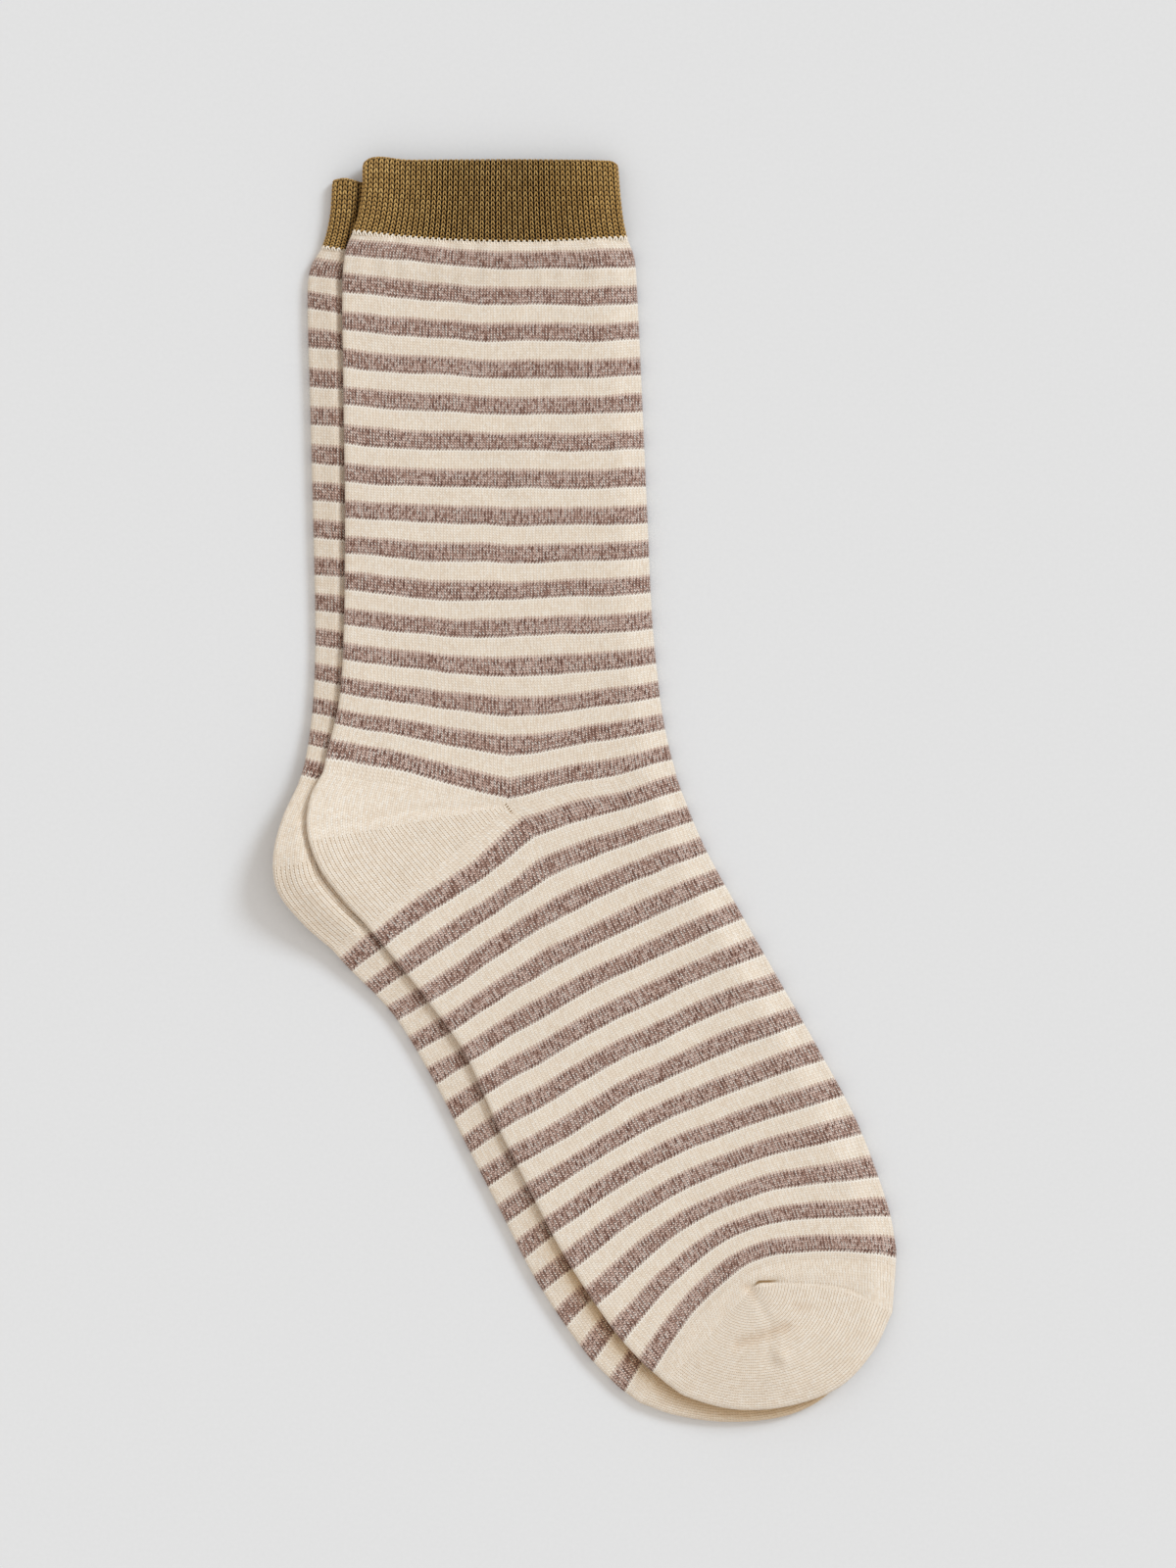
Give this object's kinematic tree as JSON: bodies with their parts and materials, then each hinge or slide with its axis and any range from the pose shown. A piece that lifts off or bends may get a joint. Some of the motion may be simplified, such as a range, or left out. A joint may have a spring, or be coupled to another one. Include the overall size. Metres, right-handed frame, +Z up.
{
  "type": "pair of crew socks",
  "caption": "Pair of striped knitted crew socks laid flat one over the other, with plain heels and toes and a contrasting turned cuff.",
  "frame": {"origin": "centre of the pair's box at the surface that it lies on", "axes": "+Y along the legs towards the cuffs, +X towards the front edges of the legs, +Z up from the surface"},
  "size_m": [0.1743, 0.3541, 0.0122],
  "materials": {
    "cuff_knit": "coarse plain knit of plied cotton yarn, olive brown",
    "striped_knit": "fine jersey of cotton yarn in ecru and heathered taupe stripes",
    "pocket_knit": "fine jersey of ecru cotton yarn"
  },
  "bodies": {
    "root": {"upper_cuff": "cuff_knit", "upper_leg": "striped_knit", "upper_heel": "pocket_knit", "upper_foot": "striped_knit", "upper_toe": "pocket_knit", "lower_cuff": "cuff_knit", "lower_leg": "striped_knit", "lower_heel": "pocket_knit", "lower_foot": "striped_knit", "lower_toe": "pocket_knit"}
  },
  "joints": []
}
